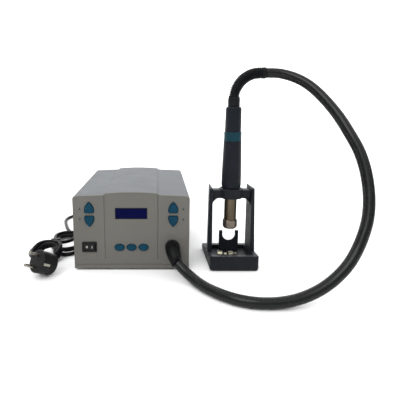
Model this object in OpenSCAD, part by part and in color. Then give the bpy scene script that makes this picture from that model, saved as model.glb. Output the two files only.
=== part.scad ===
// Hot air station: a control box with a blower, a handpiece on an air hose, and the stand it rests in.
// +X is to the right of the front panel, the front faces -Y and +Z is up, with the table at z = 0.
// The origin is below the middle of the box that the station, the stand and the handpiece fill.

/* [Control box] */
// Width of the control box
body_w = 188; // [186:1:192]
// Depth of the control box, from the front panel to the rear panel
body_d = 245; // [240:1:260]
// Height of the cover's shoulders above its lower edge
body_h = 122; // [120:1:126]
// Width of the raised middle of the top
hump_w = 86; // [82:1:90]
// Height of the raised middle above the shoulders
hump_h = 6.5; // [4:0.5:8]
// Wall thickness of the cover
cover_t = 2; // [1.5:0.5:2.5]
// Height of the rubber feet
foot_h = 3; // [2:0.5:4]

/* [Controls] */
// Width of an arrow button
arrow_w = 15.6; // [14:0.2:16]
// Distance of the arrow buttons from the middle of the panel
arrow_x = 67.5; // [66:0.5:69]
// Height of the gap between the up and down buttons above the table
arrow_z = 95.2; // [94:0.1:97]
// Distance between the middles of the oval buttons
oval_pitch = 19.5; // [18.5:0.5:21]
// How far a button travels
button_travel = 1.5; // [1:0.1:1.5]
// Width of the display window
display_w = 52; // [48:1:56]

/* [Hose and handpiece] */
// Outer diameter of the air hose
hose_d = 16; // [15:0.5:16]
// Largest diameter of the grip
grip_d = 32.8; // [32:0.2:34]
// Outer diameter of the heater barrel
barrel_d = 20.8; // [20:0.2:21.4]
// Height of the nozzle's tip above the table when the handpiece is parked
tip_z = 58; // [56:1:60]
// How far the strain relief's bend reaches sideways and upwards
bend_r = 40; // [38:1:42]

/* [Stand] */
// Width of the stand's base at the front
stand_w = 79.6; // [78:0.2:81]
// Width of the stand's base at the back
stand_back_w = 84; // [82:1:88]
// Depth of the stand's base
stand_d = 104; // [100:1:108]
// Height of the base at the front
stand_h = 26; // [25:1:28]
// Height of the base at the back
stand_back_h = 10; // [9:1:12]

/* [Mains lead] */
// Diameter of the mains lead
lead_d = 6.5; // [6:0.5:7]
// Diameter of the plug
plug_d = 36; // [35:0.5:37]

/* [Hidden] */
$fn = 48;
eps = 0.01;

// Places of the main groups. The strain relief is the right-hand end of the whole object.
stand_offset = 168;
relief_reach = bend_r + 10;
total_w = body_w / 2 + stand_offset + relief_reach;
box_x = -total_w / 2 + body_w / 2;
stand_x = box_x + stand_offset;
stand_lead = 6;
screw_head_h = 1;
front_y = -(stand_lead + body_d + screw_head_h) / 2 + stand_lead;
stand_y = front_y - stand_lead;
hand_y = stand_y + 54;

// Levels and thicknesses of the control box
shoulder_z = foot_h + body_h;
edge_r = 4.6;
panel_t = 4;
rear_t = 2;
floor_t = 1.5;
floor_z = foot_h + floor_t;
inner_w = body_w - 2 * cover_t - 0.6;
panel_gap = 0.3;
board_y = 14;
board_t = 1.6;
post_x = body_w / 2 - cover_t - 3.4;

// Controls on the front panel
row_z = 40.5;
rocker_x = -68.5;
rocker_w = 24;
rocker_h = 17.5;
rocker_swing = 16;
boot_x = 66.6;
display_z = 96.5;
display_h = 18.5;
oval_w = 16;
oval_h = 11.2;
arrow_len = 17.6;
arrow_gap = 5;
button_out = 2.2;

// Blower, with its shaft upright and its outlet towards the front
blower_x = 40;
blower_y = 82;
blower_r = 45;
blower_wall = 2;
blower_low = row_z - 21;
blower_high = row_z + 21;
shaft_d = 4;
spin_gap = 0.05;

// Handpiece levels above the nozzle's tip
nozzle_h = 15;
nozzle_r = 12.4;
seat_z = tip_z + 64;
grip_top = tip_z + 151;
band_top = tip_z + 166;
rear_top = tip_z + 207;
collar_top = tip_z + 221;
relief_r = 9.2;
barrel_r = barrel_d / 2;
seat_gap = 0.35;
seat_r = 13.3;
seat_h = 12;
grip_r = grip_d / 2;

// Stand
tray_z = 5;
tray_w = 67;
tray_front = 13;
tray_back = 89;
upright_in = 32.6;
pad_h = 1;
upright_top = tip_z + 72;
cradle_low = tip_z + 54;
fork_y = 60;
fork_t = 3;
fork_r = 11;

// Lead, plug and hank
bushing_x = -56;
bushing_z = 25;
bushing_len = 27;
far_loop_at = [-194.5, -13];
far_loop_turn = 13.9;
far_loop_run = 28;
far_loop_h = 18;
near_loop_at = [-214, -75];
near_loop_turn = -17.5;
near_loop_run = 5;
near_loop_h = 24.4;
loop_r = 26.5;
loop_hole_r = 13;
plug_at = [-199.7, -140.6, 21.5];
plug_tilt = 29;
plug_yaw = 49;
plug_len = 29;
pin_d = 4.8;
pin_len = 19;
pin_pitch = 19;

// Centre line of the air hose, from the mouth of the boot to the strain relief
hose_route = [[11, -149, 25], [20, -157, 18], [29, -167, 12.4], [40, -182, 8.8], [51, -198, 8.2],
              [64, -213, 8.2], [79, -226, 8.2], [96, -236, 8.2], [114, -241, 8.2], [133, -242, 8.2],
              [152, -241, 9.5], [171, -239, 13], [190, -237, 20], [208, -234, 29.5], [225, -230, 42],
              [240, -226, 58], [252, -220, 75], [261, -215, 94], [268, -209, 113],
              [272, -202, 133], [273.5, -193, 156], [272, -183, 180], [267, -172, 204],
              [258, -159, 227], [249, -142, 250], [238, -122, 272], [224, -104, 292],
              [210, -91, 305], [193, -80, 314], [175, -74, 318.6], [156.3, -72, 319]];
// Centre line of the mains lead, from the bushing to the hank
lead_route = [[-118, 152, 25], [-120, 168, 20], [-130, 183, 12], [-147, 194, 6], [-169, 199, 3.5],
              [-194, 196, 3.5], [-216, 186, 3.5], [-230, 169, 3.5], [-234, 147, 3.5],
              [-229, 124, 3.5], [-222, 102, 3.5], [-215, 82, 3.5], [-206, 64, 3.5],
              [-196, 50, 3.5], [-187, 38, 3.5], [-180.5, 26, 3.5], [-177, 14, 3.5]];
// Centre line of the short end of the lead, from the hank to the plug
tail_route = [[-236.5, -73, 19.6], [-238.4, -84, 19.8], [-238.2, -94, 19.8], [-235.3, -102.5, 19.5],
              [-230.6, -108.2, 19.2], [-224.9, -112.9, 19.1]];

function arc(cx, cy, r, a0, a1, n) =
    [for (i = [0:n]) let (a = a0 + (a1 - a0) * i / n) [cx + r * cos(a), cy + r * sin(a)]];
function ellipse(w, h, n) = [for (i = [0:n - 1]) [w / 2 * cos(360 * i / n), h / 2 * sin(360 * i / n)]];
function reversed(v) = [for (i = [len(v) - 1:-1:0]) v[i]];
function flipped(v) = [for (p = reversed(v)) [-p[0], p[1]]];

// Cross-section of the control box, t inside its outer surface, with its lower edge at z = low
crown_x = hump_w / 2 - 1.5;
function crown_z(u) = shoulder_z + hump_h * (0.7 + 0.3 * (1 - u * u));
function right_side(t, low) = concat(
    [[body_w / 2 - t, low]],
    arc(body_w / 2 - edge_r, shoulder_z - edge_r, edge_r - t, 0, 86, 5),
    [[hump_w / 2 + 1.5, shoulder_z + 0.3 * hump_h - t]],
    [for (i = [0:5]) let (u = 1 - i / 6) [crown_x * u, crown_z(u) - t]]);
function box_section(t, low) = concat(
    right_side(t, low), [[0, crown_z(0) - t]], flipped(right_side(t, low)));

module along_y(y0, y1) translate([0, y1, 0]) rotate([90, 0, 0]) linear_extrude(y1 - y0) children();
module in_box() translate([box_x, front_y, 0]) children();
module in_stand() translate([stand_x, stand_y, 0]) children();
module on_hand_axis() translate([stand_x, hand_y, 0]) children();
module rounded_rect(w, h, r) {
    translate([-w / 2 + r, -h / 2]) square([w - 2 * r, h]);
    translate([-w / 2, -h / 2 + r]) square([w, h - 2 * r]);
    for (x = [-1, 1]) for (y = [-1, 1]) translate([x * (w / 2 - r), y * (h / 2 - r)]) circle(r);
}
module ring(r_out, r_in, z0, z1) translate([0, 0, z0]) difference() {
    cylinder(r = r_out, h = z1 - z0);
    translate([0, 0, -1]) cylinder(r = r_in, h = z1 - z0 + 2);
}

// A tube swept along a smooth curve through hand-placed points. Its rings lie square to the curve.
function unit(v) = v / norm(v);
function at(p, i) = p[max(0, min(len(p) - 1, i))];
function spline(p, n) = concat(
    [for (i = [0:len(p) - 2]) for (j = [0:n - 1]) let (u = j / n, a = at(p, i - 1), b = p[i], c = p[i + 1],
        d = at(p, i + 2))
        0.5 * (2 * b + (c - a) * u + (2 * a - 5 * b + 4 * c - d) * u * u
               + (3 * b - 3 * c + d - a) * u * u * u)],
    [p[len(p) - 1]]);
function heading(p, i, first, last) =
    i == 0 && first != undef ? first :
    i == len(p) - 1 && last != undef ? last : unit(at(p, i + 1) - at(p, i - 1));
function side_of(t) = unit(cross(t, abs(t[2]) > 0.95 ? [0, 1, 0] : [0, 0, 1]));
function sweep_point(c, t, s, r, a) = c + r * (cos(a) * s + sin(a) * cross(t, s));
function sweep_sides(prev, p, i, first, last) =
    let (t = heading(p, i, first, last), q = prev - (prev * t) * t) unit(q);
function all_sides(p, first, last, i = 0, got = []) =
    i == len(p) ? got :
    all_sides(p, first, last, i + 1, concat(got, [i == 0 ? side_of(heading(p, 0, first, last)) :
                                                  sweep_sides(got[i - 1], p, i, first, last)]));
module sweep(p, radii, sides, first, last) {
    n = len(p);
    s = all_sides(p, first, last);
    points = [for (i = [0:n - 1]) for (k = [0:sides - 1])
              sweep_point(p[i], heading(p, i, first, last), s[i], radii[i], 360 * k / sides)];
    walls = [for (i = [0:n - 2]) for (k = [0:sides - 1]) let (m = (k + 1) % sides)
             [i * sides + k, (i + 1) * sides + k, (i + 1) * sides + m, i * sides + m]];
    ends = [[for (k = [0:sides - 1]) k], [for (k = [sides - 1:-1:0]) (n - 1) * sides + k]];
    polyhedron(points = points, faces = concat(walls, ends), convexity = 8);
}
module cord(route, d, sides, first, last) {
    sweep(route, [for (p = route) d / 2], sides, first, last);
}

// ---- Control box ----

// Sheet steel floor with folded side flanges, board posts and an air intake under the blower
module base_chassis() color("silver") in_box() {
    difference() {
        union() {
            translate([-inner_w / 2, panel_t + 0.5, foot_h])
                cube([inner_w, body_d - panel_t - rear_t - 1, floor_t]);
            for (s = [-1, 1]) translate([s * (inner_w / 2 - floor_t / 2) - floor_t / 2, 14, foot_h])
                cube([floor_t, body_d - 30, 16]);
        }
        for (i = [-3:3]) translate([blower_x + i * 8 - 1.5, blower_y - 20, foot_h - 1])
            cube([3, 40, floor_t + 2]);
    }
    for (x = [-80, -16]) for (y = [46, 134]) translate([x, y, floor_z - eps])
        cylinder(d = 6, h = 9.5 + eps);
}

// Pressed cover: both sides and the crowned top with its raised middle, slotted towards the rear
module top_cover() color("#85898d") in_box() {
    difference() {
        along_y(panel_t, body_d - rear_t) difference() {
            polygon(box_section(0, foot_h));
            polygon(box_section(cover_t, foot_h - 1));
        }
        for (i = [0:9]) translate([-body_w, 150 + i * 7, 62]) cube([2 * body_w, 2.6, 34]);
    }
    for (x = [-1, 1]) for (z = [26, 110]) difference() {
        translate([x * post_x, body_d - rear_t, z]) rotate([90, 0, 0])
            cylinder(d = 8, h = 12);
        translate([x * post_x, body_d, z]) rotate([90, 0, 0])
            cylinder(d = 3, h = 16);
    }
}

function arrow_side(grow) =
    let (w = arrow_w / 2 + grow, h = arrow_len - 2.6 + grow, r = (h * h + w * w) / (2 * w),
         turn = asin(h / r))
    [for (i = [0:7]) let (a = turn * i / 8) [r * cos(a) - (r - w), r * sin(a)]];
// Outline of an arrow button with its flat end at the bottom: an arch that comes to a point
module arrow_outline(grow) polygon(concat(
    arc(arrow_w / 2 - 3, 0, 3 + grow, -80, 0, 5),
    arrow_side(grow),
    [[0, arrow_len - 2.6 + grow]],
    flipped(arrow_side(grow)),
    flipped(arc(arrow_w / 2 - 3, 0, 3 + grow, -80, 0, 5))));
module oval_outline(grow) polygon(ellipse(oval_w + 2 * grow, oval_h + 2 * grow, 32));

// Places a child outline drawn in the panel's plane, with up = 1 for upright and -1 for upside down
module arrow_place(side, up) translate([side * arrow_x, arrow_z + up * (arrow_gap / 2 + 2.9)])
    scale([1, up]) children();
module oval_place(i) translate([(i - 2) * oval_pitch, row_z - 1]) children();

// Moulded front panel with its openings, two upright grooves and one level groove
module front_panel() color("#7b7973") in_box() {
    difference() {
        union() {
            along_y(0, panel_t) polygon(box_section(0, foot_h));
            along_y(panel_t - eps, panel_t + 6) difference() {
                polygon(box_section(cover_t + 0.3, foot_h + 2));
                polygon(box_section(cover_t + 2.3, foot_h + 4));
            }
            for (x = [-1, 1]) for (z = [66, 116]) translate([x * 84, board_y, z]) rotate([90, 0, 0])
                cylinder(d = 6, h = board_y - panel_t + eps);
        }
        for (x = [-1, 1]) translate([x * hump_w / 2 - 0.6, -1, 20]) cube([1.2, 1.8, body_h]);
        translate([-body_w, -1, 9.6]) cube([2 * body_w, 1.6, 1]);
        translate([-display_w / 2, -1, display_z - display_h / 2]) cube([display_w, 3, display_h]);
        translate([-display_w / 2 + 2, -1, display_z - display_h / 2 + 2])
            cube([display_w - 4, panel_t + 2, display_h - 4]);
        along_y(-1, panel_t + 1) {
            for (s = [-1, 1]) for (up = [-1, 1]) arrow_place(s, up) arrow_outline(panel_gap);
            for (i = [1:3]) oval_place(i) oval_outline(panel_gap);
        }
        translate([rocker_x - rocker_w / 2 + 1, -1, row_z - rocker_h / 2 + 1])
            cube([rocker_w - 2, panel_t + 2, rocker_h - 2]);
        translate([boot_x, panel_t + 1, row_z]) rotate([90, 0, 0]) cylinder(d = 18, h = panel_t + 2);
    }
}

// Sheet rear panel with air slots and the hole for the lead bushing
module rear_panel() color("#7d8084") in_box() difference() {
    along_y(body_d - rear_t, body_d) polygon(box_section(0, foot_h));
    for (i = [0:6]) translate([-10, body_d - 5, 50 + i * 8]) cube([70, 10, 3]);
    translate([bushing_x, body_d + 1, bushing_z]) rotate([90, 0, 0]) cylinder(d = 12, h = 4);
    for (x = [-1, 1]) for (z = [26, 110])
        translate([x * post_x, body_d + 1, z]) rotate([90, 0, 0])
            cylinder(d = 3.4, h = 4);
}

module rubber_feet() color("#202020") in_box()
    for (x = [-78, 78]) for (y = [24, body_d - 24]) translate([x, y, 0])
        rotate_extrude() polygon([[0, 0], [6.4, 0], [7, 0.6], [7.5, foot_h], [0, foot_h]]);

module cover_screws() color("dimgray") in_box()
    for (x = [-1, 1]) for (z = [26, 110])
        translate([x * post_x, body_d, z]) rotate([90, 0, 0]) {
            translate([0, 0, -screw_head_h]) cylinder(d = 6, h = screw_head_h);
            translate([0, 0, -eps]) cylinder(d = 2.9, h = 10);
        }

module display_window() color("#0a0a50") in_box()
    translate([-display_w / 2 + 0.1, 0.2, display_z - display_h / 2 + 0.1])
        cube([display_w - 0.2, 1.7, display_h - 0.2]);

module lcd_module() color("#203a2a") in_box() {
    translate([-32, 11, display_z - 16]) cube([64, board_t, 32]);
    translate([-28, 5, display_z - 11]) cube([56, 6, 22]);
    for (x = [-30, 30]) for (z = [-14, 14])
        translate([x, board_y - 1.3 + eps, display_z + z]) rotate([90, 0, 0]) cylinder(d = 3, h = 1.5);
}

module control_board() color("#1f5a35") in_box() difference() {
    translate([0, board_y + board_t, 0]) rotate([90, 0, 0]) linear_extrude(board_t)
        polygon([[-88, 62], [-34, 62], [-34, 30], [34, 30], [34, 62], [88, 62], [88, 120], [-88, 120]]);
    for (x = [-1, 1]) for (z = [66, 116]) translate([x * 84, board_y + 3, z]) rotate([90, 0, 0])
        cylinder(d = 3, h = 4);
}

// One small push switch behind each button
module tact_switches() color("#303030") in_box() {
    for (s = [-1, 1]) for (up = [-1, 1]) tact_at(s * arrow_x, arrow_z + up * (arrow_gap / 2 + 8));
    for (i = [1:3]) tact_at((i - 2) * oval_pitch, row_z - 1);
}
module tact_at(x, z) {
    translate([x - 3, 11.3, z - 3]) cube([6, board_y - 11.3, 6]);
    translate([x, 11.3 + eps, z]) rotate([90, 0, 0]) cylinder(d = 3.4, h = 0.5);
}

module power_board() color("#2c6b3f") in_box() {
    translate([-84, 42, floor_z + 9.5]) cube([72, 96, board_t]);
    translate([-72, 50, floor_z + 9.5 + board_t]) cube([20, 16, 14]);
    translate([-34, 118, floor_z + 9.5 + board_t]) cube([16, 12, 18]);
}

module power_capacitors() color("#26324a") in_box()
    for (y = [64, 84, 104]) translate([-30, y, floor_z + 9.5 + board_t]) {
        cylinder(d = 16, h = 28);
        translate([0, 0, 28 - eps]) cylinder(d = 14, h = 1);
    }

module heat_sink() color("#b8bcc0") in_box() translate([-76, 76, floor_z + 9.5 + board_t]) {
    cube([24, 44, 4]);
    for (i = [0:5]) translate([0, i * 8, 0]) cube([24, 2, 26]);
}

module transformer_core() color("#4a4c50") in_box() translate([-72, 168, floor_z]) difference() {
    cube([58, 42, 50]);
    for (x = [9, 37]) translate([x, -1, 12]) cube([12, 44, 26]);
}

module transformer_coil() color("#b06a2c") in_box() translate([-43, 189, floor_z + 25]) difference() {
    cube([39, 58, 25], center = true);
    cube([16.4, 42.2, 60], center = true);
}

// ---- Blower ----

// Scroll housing with its outlet duct running forwards
module blower_housing() color("#2a2c30") in_box() difference() {
    union() {
        translate([blower_x, blower_y, blower_low]) cylinder(r = blower_r, h = blower_high - blower_low);
        translate([blower_x + blower_r - 36, 34, blower_low])
            cube([36, blower_y - 34, blower_high - blower_low]);
    }
    translate([blower_x, blower_y, blower_low - 1])
        cylinder(r = blower_r - blower_wall, h = blower_high - blower_low - 1);
    translate([blower_x + blower_r - 34, 33, blower_low + blower_wall])
        cube([32, blower_y - 33, blower_high - blower_low - 2 * blower_wall]);
    translate([blower_x, blower_y, blower_low]) cylinder(d = 12, h = 60);
}

module blower_cover() color("#34363a") in_box() translate([blower_x, blower_y, 0]) {
    difference() {
        translate([0, 0, blower_low - blower_wall]) cylinder(r = blower_r, h = blower_wall);
        translate([0, 0, blower_low - blower_wall - 1]) cylinder(d = 48, h = blower_wall + 2);
    }
    for (a = [45:90:315]) rotate([0, 0, a]) translate([38, 0, floor_z])
        cylinder(d = 7, h = blower_low - blower_wall - floor_z + eps);
}

module blower_motor() color("#8d9094") in_box() translate([blower_x, blower_y, blower_high]) difference() {
    union() {
        cylinder(d = 44, h = 30);
        translate([0, 0, 30 - eps]) cylinder(d = 16, h = 6);
    }
    translate([0, 0, -1]) cylinder(d = shaft_d + 2 * spin_gap, h = 34);
}

module motor_shaft() color("lightgray") in_box()
    translate([blower_x, blower_y, blower_low + 4]) cylinder(d = shaft_d, h = 66);

// Wheel of curved blades between a back plate and a rim
module blower_impeller() color("#50545a") in_box() translate([blower_x, blower_y, blower_low + 5]) {
    difference() {
        union() {
            translate([0, 0, 26]) cylinder(r = 38, h = 2);
            translate([0, 0, 10]) cylinder(d = 14, h = 17);
        }
        translate([0, 0, -1]) cylinder(d = shaft_d, h = 40);
    }
    ring(38, 33, 0, 1.5);
    for (i = [0:19]) rotate([0, 0, i * 18]) translate([35.5, 0, 1.5 - eps]) rotate([0, 0, 25])
        translate([-3.6, -0.6, 0]) cube([7.2, 1.2, 24.5 + 2 * eps]);
}

// Duct that joins the rectangular outlet to the round connector
module air_duct() color("#3a3d42") in_box() difference() {
    union() {
        translate([blower_x + blower_r - 37.5, 30, blower_low - 1.5])
            cube([39, 4, blower_high - blower_low + 3]);
        translate([boot_x, 34, row_z]) rotate([90, 0, 0]) cylinder(d = 24, h = 14);
    }
    translate([boot_x, 35, row_z]) rotate([90, 0, 0]) cylinder(d = 18, h = 16);
}

// Flanged pipe through the front panel, which the hose is pushed on to
module hose_connector() color("#9a9a96") in_box() translate([boot_x, 0, row_z]) rotate([90, 0, 0])
    difference() {
        union() {
            translate([0, 0, -32]) cylinder(d = 17.9, h = 42);
            translate([0, 0, -panel_t - 2]) cylinder(d = 26, h = 2);
        }
        translate([0, 0, -33]) cylinder(d = 13, h = 44);
    }

// ---- Switch and buttons ----

module rocker_at() in_box() translate([rocker_x, 0.5, row_z]) children();

module switch_frame() color("#151515") rocker_at() difference() {
    union() {
        along_y(-2, -0.5) rounded_rect(rocker_w, rocker_h, 1.2);
        translate([-rocker_w / 2 + 1.2, -0.6, -rocker_h / 2 + 1.2])
            cube([rocker_w - 2.4, 16, rocker_h - 2.4]);
        for (x = [-6, 0, 6]) translate([x - 2.4, 15, -0.4]) cube([4.8, 8, 0.8]);
    }
    translate([-9.9, -3, -6.3]) cube([19.8, 14, 12.6]);
    translate([0, 0, -7.3]) cylinder(d = 2.5, h = 14.6);
}

// Rocker with its left half pressed in. It turns about its own two pivot pegs.
module power_rocker() color("#1c1c1c") rocker_at() {
    rotate([0, 0, -rocker_swing / 2]) translate([0, 0, -6]) linear_extrude(12)
        polygon([[-9.2, -2.8], [-4.6, -1.5], [0, -1.1], [4.6, -1.5], [9.2, -2.8],
                 [9, 2.4], [3, 5.6], [-3, 5.6], [-9, 2.4]]);
    translate([0, 0, -7.2]) cylinder(d = 2.4, h = 14.4);
}

// A button: cap through the panel, flange behind it and a stem that ends short of its switch
module button_core(h) {
    along_y(-button_out + 0.6, panel_t + 0.3) children(0);
    along_y(-button_out, -button_out + 0.6 + eps) children(1);
    along_y(panel_t + 0.2, panel_t + 1.4) children(2);
    translate([0, 9.2, h]) rotate([90, 0, 0]) cylinder(d = 3.4, h = 9.2 - panel_t - 1.3);
}
module arrow_button(side, up) color("#084862") in_box() translate([side * arrow_x, 0, 0])
    button_core(arrow_z + up * (arrow_gap / 2 + 8)) {
        translate([-side * arrow_x, 0]) arrow_place(side, up) arrow_outline(0);
        translate([-side * arrow_x, 0]) arrow_place(side, up) arrow_outline(-0.6);
        translate([0, arrow_z + up * (arrow_gap / 2 + 8.6)])
            square([arrow_w + 2.4, arrow_len - 1], center = true);
    }
module oval_button(i) color("#084862") in_box() translate([(i - 2) * oval_pitch, 0, 0])
    button_core(row_z - 1) {
        translate([0, row_z - 1]) oval_outline(0);
        translate([0, row_z - 1]) oval_outline(-0.6);
        translate([0, row_z - 1]) square([oval_w + 2.4, oval_h + 1.6], center = true);
    }
module button_temp_up() arrow_button(-1, 1);
module button_temp_down() arrow_button(-1, -1);
module button_air_up() arrow_button(1, 1);
module button_air_down() arrow_button(1, -1);
module button_channel_1() oval_button(1);
module button_channel_2() oval_button(2);
module button_channel_3() oval_button(3);

// ---- Hose, lead and plug ----

module lead_bushing() color("#1a1a1a") in_box() translate([bushing_x, body_d, bushing_z])
    rotate([-90, 0, 0]) rotate_extrude() polygon([[0, -5], [6.8, -5], [6.8, -3], [5.95, -2.2],
        [5.95, 0], [8, 0], [8, 1.6], [6.4, 2.4], [4.6, bushing_len], [0, bushing_len]]);

// Rubber elbow over the connector, turning down and to the right
boot_route = [[0, 0, 0], [0, -8, 0], [0.4, -15, -1.4], [1.6, -21, -4.6], [3.6, -25.5, -9.2],
              [6.4, -29, -15.5]];
boot_radii = [12, 12, 11.6, 11, 10.4, 10];
module hose_boot() color("#17181a") difference() {
    translate([box_x + boot_x, front_y, row_z])
        sweep(boot_route, boot_radii, 24, [0, -1, 0], unit(hose_route[1] - hose_route[0]));
    in_box() translate([boot_x, 1, row_z]) rotate([90, 0, 0]) cylinder(d = 18, h = 12);
}

module air_hose() color("#191b1c")
    cord(spline(hose_route, 1), hose_d, 12, unit(hose_route[1] - hose_route[0]), [-1, 0, 0]);

module mains_lead() color("#151515") cord(spline(lead_route, 2), lead_d, 8, [0, 1, 0], undef);
module plug_lead() color("#151515") cord(spline(tail_route, 1), lead_d, 8, undef, undef);

// Folded hank: a far loop and a near loop that lies partly on it, each wound from runs of the lead
module stadium(r, run) {
    translate([-r, -run]) square([2 * r, 2 * run]);
    for (s = [-1, 1]) translate([0, s * run]) circle(r = r);
}
module at_loop(at, turn) translate([at[0], at[1], 0.2]) rotate([0, 0, turn]) children();
module loop(run, hole_run, h) difference() {
    linear_extrude(h) stadium(loop_r, run);
    translate([0, 0, -1]) linear_extrude(h + 2) stadium(loop_hole_r, hole_run);
}
module mains_hank() color("#141414") {
    at_loop(far_loop_at, far_loop_turn) loop(far_loop_run, far_loop_run - 8, far_loop_h);
    at_loop(near_loop_at, near_loop_turn) loop(near_loop_run, near_loop_run - 3, near_loop_h);
}
// Strap round the left-hand runs of the far loop
module hank_tie() color("#0c0c0c") at_loop(far_loop_at, far_loop_turn) difference() {
    translate([-loop_r - 1.5, -9, 0]) cube([loop_r - loop_hole_r + 3, 6, far_loop_h + 1.5]);
    translate([-loop_r, -10, -1]) cube([loop_r - loop_hole_r, 8, far_loop_h + 1]);
}

module at_plug() translate(plug_at) rotate([0, 0, plug_yaw]) rotate([0, plug_tilt, 0]) children();
// Round plug lying on its side: pins to the left, flat back to the right, lead leaving sideways
module plug_body() color("#161616") at_plug() {
    rotate([0, 90, 0]) rotate_extrude() polygon([[0, -14.5], [plug_d / 2 - 0.9, -14.5],
        [plug_d / 2, -13.6], [plug_d / 2, 1.5], [17, 2.4], [17, 4], [17.5, 5], [17.5, 12.5], [16, 14.5],
        [0, 14.5]]);
    translate([5, 16, 0]) rotate([-90, 0, 0]) rotate_extrude()
        polygon([[0, -4], [6.6, -4], [6.6, 4], [5.6, 6], [4.4, 21], [0, 21]]);
}
module plug_pins() color("silver") at_plug() for (s = [-1, 1])
    translate([-14.5 + eps, 0, s * pin_pitch / 2]) rotate([0, -90, 0]) {
        cylinder(d = pin_d, h = pin_len - 1.2);
        translate([0, 0, pin_len - 1.2]) cylinder(d1 = pin_d, d2 = pin_d - 1.8, h = 1.2);
    }
module earth_clips() color("silver") at_plug() for (s = [-1, 1])
    translate([-13, s * (plug_d / 2 - 0.4) - 0.5, -2]) cube([12, 1, 4]);

// ---- Handpiece ----

relief_core = hose_d / 2 + 0.35;
// Finned rubber bend that leads the hose from the handle to the side
module strain_relief() color("#141618") translate([stand_x, hand_y, collar_top]) {
    translate([bend_r, 0, 0]) rotate([90, 0, 180]) rotate_extrude(angle = 90)
        translate([bend_r, 0]) circle(r = relief_core);
    for (i = [0:23]) translate([bend_r, 0, 0]) rotate([0, i * 90 / 23.5, 0]) translate([-bend_r, 0, 0])
        cylinder(r = relief_r, h = 1.2);
    translate([bend_r - eps, 0, bend_r]) rotate([0, 90, 0]) cylinder(r = relief_r, h = 10 + eps);
}

module hand_turn(points) on_hand_axis() rotate_extrude() polygon(points);

module rear_collar() color("#1e2226")
    hand_turn([[7, rear_top], [9.4, rear_top], [9.8, rear_top + 0.8], [9.8, collar_top - 1],
               [9.3, collar_top], [7, collar_top]]);
module handle_rear() color("#1e232a")
    hand_turn([[10.6, band_top], [13.4, band_top], [13, rear_top - 3], [11.6, rear_top],
               [8, rear_top], [8, rear_top - 3], [10.6, rear_top - 6]]);
module handle_band() color("#144150")
    hand_turn([[11.4, grip_top], [14.6, grip_top], [14.3, grip_top + 2], [14.3, band_top - 2.4],
               [14.6, band_top - 1.6], [14.3, band_top], [10.4, band_top]]);
module handle_grip() color("#1e232a")
    hand_turn([[barrel_r + 0.05, seat_z], [seat_r, seat_z], [grip_r, seat_z + seat_h],
               [grip_r - 0.1, seat_z + 30], [14.6, grip_top], [11.6, grip_top],
               [13.4, seat_z + 28], [13.4, seat_z + 15], [barrel_r + 0.05, seat_z + 4]]);
module barrel_flange() color("#9a9da0") on_hand_axis()
    ring(13, barrel_r, seat_z + 16, seat_z + 18);
module barrel() color("#8c8064") on_hand_axis() ring(barrel_r, barrel_r - 0.8, tip_z + 6.5, seat_z + 22);
module heater_core() color("#e6e0d4") on_hand_axis() translate([0, 0, tip_z + 12]) {
    for (a = [0:45:135]) rotate([0, 0, a]) translate([-7.5, -0.8, 0]) cube([15, 1.6, 66]);
    cylinder(d = 5, h = 70);
}
// Heater wire, wound as a stack of rings round the ceramic core
module heater_coil() color("#a09080") on_hand_axis()
    for (i = [0:9]) ring(8.4, 7.55, tip_z + 16 + i * 6, tip_z + 17 + i * 6);

// Twist-lock nozzle: outlet at the tip, running fit on the barrel, three flats to grip
module nozzle() color("#96826e") on_hand_axis() difference() {
    rotate_extrude() polygon([[8, tip_z], [10.4, tip_z], [nozzle_r, tip_z + 3.4],
        [nozzle_r, tip_z + nozzle_h - 1.6], [nozzle_r - 0.8, tip_z + nozzle_h],
        [barrel_r + spin_gap, tip_z + nozzle_h], [barrel_r + spin_gap, tip_z + 6], [8, tip_z + 6]]);
    for (a = [-15, 105, 225]) rotate([0, 0, a]) translate([-10, -nozzle_r - 9.2, tip_z - 1])
        cube([20, 10, nozzle_h + 2]);
}

// ---- Stand ----

function base_outline(inset) = let (f = stand_w / 2 - inset, b = stand_back_w / 2 - inset, r = 4.5)
    concat(arc(f - r, inset + r, r, -90, 0, 4), arc(b - r, stand_d - inset - r, r, 0, 90, 4),
           arc(-b + r, stand_d - inset - r, r, 90, 180, 4), arc(-f + r, inset + r, r, 180, 270, 4));

// Wedge-shaped base with a tray sunk in its top and pockets for the uprights
module stand_base() color("#25282d") in_stand() difference() {
    union() {
        intersection() {
            translate([0, 0, pad_h + 2]) linear_extrude(stand_h) polygon(base_outline(0));
            translate([stand_back_w, 0, 0]) rotate([90, 0, -90]) linear_extrude(2 * stand_back_w)
                polygon([[1, 0], [1, stand_h], [-stand_d - 1, stand_back_h], [-stand_d - 1, 0]]);
        }
        hull() {
            translate([0, 0, pad_h]) linear_extrude(0.5) polygon(base_outline(1.5));
            translate([0, 0, pad_h + 1.5]) linear_extrude(0.5 + eps) polygon(base_outline(0));
        }
    }
    translate([-tray_w / 2, tray_front, tray_z]) cube([tray_w, tray_back - tray_front, stand_h]);
    for (s = [-1, 1]) upright_body(s);
    for (x = [-30, 30]) for (y = [12, stand_d - 14]) translate([x, y, 0]) cylinder(d = 10.2, h = pad_h + 1);
}
module stand_pads() color("#101010") in_stand()
    for (x = [-30, 30]) for (y = [12, stand_d - 14]) translate([x, y, 0]) cylinder(d = 10, h = pad_h + 1);

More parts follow.
